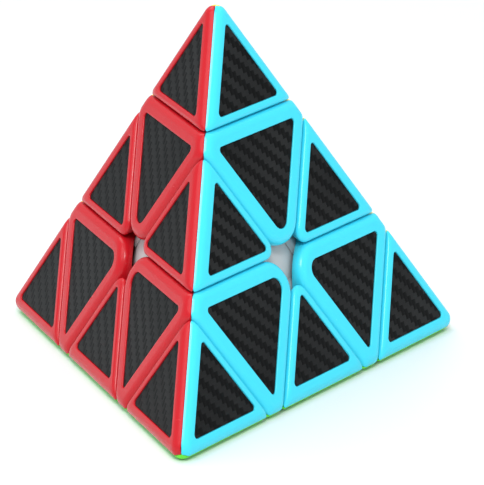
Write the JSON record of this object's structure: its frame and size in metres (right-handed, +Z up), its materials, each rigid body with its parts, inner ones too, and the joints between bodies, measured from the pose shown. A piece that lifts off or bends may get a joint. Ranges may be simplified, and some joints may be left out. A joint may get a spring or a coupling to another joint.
{
  "type": "pyramid twisty puzzle",
  "caption": "Tetrahedral twisty puzzle: coloured plastic shells with inset woven-look stickers turn about a hidden ball core on sprung axles.",
  "frame": {"origin": "centre of the core ball, where the four turning axes meet", "axes": "+Z up through the top vertex, -Y towards the front vertex of the base, +X to the right"},
  "size_m": [0.093, 0.0812, 0.0768],
  "materials": {
    "red_plastic": "smooth moulded, satin gloss",
    "blue_plastic": "smooth moulded, satin gloss",
    "green_plastic": "smooth moulded, satin gloss",
    "yellow_plastic": "smooth moulded, satin gloss",
    "carbon_sticker": "black film with a fine twill weave",
    "core_grey": "smooth moulded",
    "inner_grey": "moulded",
    "screw_steel": "bright",
    "spring_steel": "drawn wire",
    "washer_steel": "stamped"
  },
  "bodies": {
    "core": {"core_ball": "core_grey", "axle_screws": "screw_steel", "axle_springs": "spring_steel", "axle_washers": "washer_steel"},
    "top_tip": {"top_tip_yellow": "yellow_plastic", "top_tip_red": "red_plastic", "top_tip_blue": "blue_plastic", "top_tip_stickers": "carbon_sticker"},
    "top_axial": {"top_axial_yellow": "yellow_plastic", "top_axial_red": "red_plastic", "top_axial_blue": "blue_plastic", "top_axial_stickers": "carbon_sticker", "top_axial_body": "inner_grey"},
    "front_tip": {"front_tip_green": "green_plastic", "front_tip_red": "red_plastic", "front_tip_blue": "blue_plastic", "front_tip_stickers": "carbon_sticker"},
    "front_axial": {"front_axial_green": "green_plastic", "front_axial_red": "red_plastic", "front_axial_blue": "blue_plastic", "front_axial_stickers": "carbon_sticker", "front_axial_body": "inner_grey"},
    "right_tip": {"right_tip_green": "green_plastic", "right_tip_yellow": "yellow_plastic", "right_tip_blue": "blue_plastic", "right_tip_stickers": "carbon_sticker"},
    "right_axial": {"right_axial_green": "green_plastic", "right_axial_yellow": "yellow_plastic", "right_axial_blue": "blue_plastic", "right_axial_stickers": "carbon_sticker", "right_axial_body": "inner_grey"},
    "left_tip": {"left_tip_green": "green_plastic", "left_tip_yellow": "yellow_plastic", "left_tip_red": "red_plastic", "left_tip_stickers": "carbon_sticker"},
    "left_axial": {"left_axial_green": "green_plastic", "left_axial_yellow": "yellow_plastic", "left_axial_red": "red_plastic", "left_axial_stickers": "carbon_sticker", "left_axial_body": "inner_grey"},
    "front_edge": {"front_edge_red": "red_plastic", "front_edge_blue": "blue_plastic", "front_edge_stickers": "carbon_sticker"},
    "right_edge": {"right_edge_yellow": "yellow_plastic", "right_edge_blue": "blue_plastic", "right_edge_stickers": "carbon_sticker"},
    "left_edge": {"left_edge_yellow": "yellow_plastic", "left_edge_red": "red_plastic", "left_edge_stickers": "carbon_sticker"},
    "base_right_edge": {"base_right_edge_green": "green_plastic", "base_right_edge_blue": "blue_plastic", "base_right_edge_stickers": "carbon_sticker"},
    "base_left_edge": {"base_left_edge_green": "green_plastic", "base_left_edge_red": "red_plastic", "base_left_edge_stickers": "carbon_sticker"},
    "base_back_edge": {"base_back_edge_green": "green_plastic", "base_back_edge_yellow": "yellow_plastic", "base_back_edge_stickers": "carbon_sticker"}
  },
  "joints": [
    {"name": "top_layer_turn", "type": "hinge", "parent": "core", "child": "top_axial", "pos_m": [0, 0, 0], "axis": [0, 0, 1], "continuous": true},
    {"name": "front_layer_turn", "type": "hinge", "parent": "core", "child": "front_axial", "pos_m": [0, 0, 0], "axis": [0, -0.9428, -0.3333], "range_deg": [-360, 360]},
    {"name": "right_layer_turn", "type": "hinge", "parent": "core", "child": "right_axial", "pos_m": [0, 0, 0], "axis": [0.8165, 0.4714, -0.3333], "range_deg": [-360, 360]},
    {"name": "left_layer_turn", "type": "hinge", "parent": "core", "child": "left_axial", "pos_m": [0, 0, 0], "axis": [-0.8165, 0.4714, -0.3333], "range_deg": [-360, 360]},
    {"name": "top_tip_turn", "type": "hinge", "parent": "top_axial", "child": "top_tip", "pos_m": [0, 0, 0], "axis": [0, 0, 1], "continuous": true},
    {"name": "front_tip_turn", "type": "hinge", "parent": "front_axial", "child": "front_tip", "pos_m": [0, 0, 0], "axis": [0, -0.9428, -0.3333], "continuous": true},
    {"name": "right_tip_turn", "type": "hinge", "parent": "right_axial", "child": "right_tip", "pos_m": [0, 0, 0], "axis": [0.8165, 0.4714, -0.3333], "continuous": true},
    {"name": "left_tip_turn", "type": "hinge", "parent": "left_axial", "child": "left_tip", "pos_m": [0, 0, 0], "axis": [-0.8165, 0.4714, -0.3333], "continuous": true},
    {"name": "front_edge_with_front", "type": "hinge", "parent": "top_axial", "child": "front_edge", "pos_m": [0, 0, 0], "axis": [0, -0.9428, -0.3333], "range_deg": [-360, 360]},
    {"name": "right_edge_with_right", "type": "hinge", "parent": "top_axial", "child": "right_edge", "pos_m": [0, 0, 0], "axis": [0.8165, 0.4714, -0.3333], "range_deg": [-360, 360]},
    {"name": "left_edge_with_left", "type": "hinge", "parent": "top_axial", "child": "left_edge", "pos_m": [0, 0, 0], "axis": [-0.8165, 0.4714, -0.3333], "range_deg": [-360, 360]},
    {"name": "base_right_edge_with_right", "type": "hinge", "parent": "front_axial", "child": "base_right_edge", "pos_m": [0, 0, 0], "axis": [0.8165, 0.4714, -0.3333], "range_deg": [-360, 360]},
    {"name": "base_left_edge_with_left", "type": "hinge", "parent": "front_axial", "child": "base_left_edge", "pos_m": [0, 0, 0], "axis": [-0.8165, 0.4714, -0.3333], "range_deg": [-360, 360]},
    {"name": "base_back_edge_with_left", "type": "hinge", "parent": "right_axial", "child": "base_back_edge", "pos_m": [0, 0, 0], "axis": [-0.8165, 0.4714, -0.3333], "range_deg": [-360, 360]}
  ],
  "couplings": [
    {"joint": "front_edge_with_front", "follows": "front_layer_turn", "ratio": 1},
    {"joint": "right_edge_with_right", "follows": "right_layer_turn", "ratio": 1},
    {"joint": "left_edge_with_left", "follows": "left_layer_turn", "ratio": 1},
    {"joint": "base_right_edge_with_right", "follows": "right_layer_turn", "ratio": 1},
    {"joint": "base_left_edge_with_left", "follows": "left_layer_turn", "ratio": 1},
    {"joint": "base_back_edge_with_left", "follows": "left_layer_turn", "ratio": 1}
  ]
}
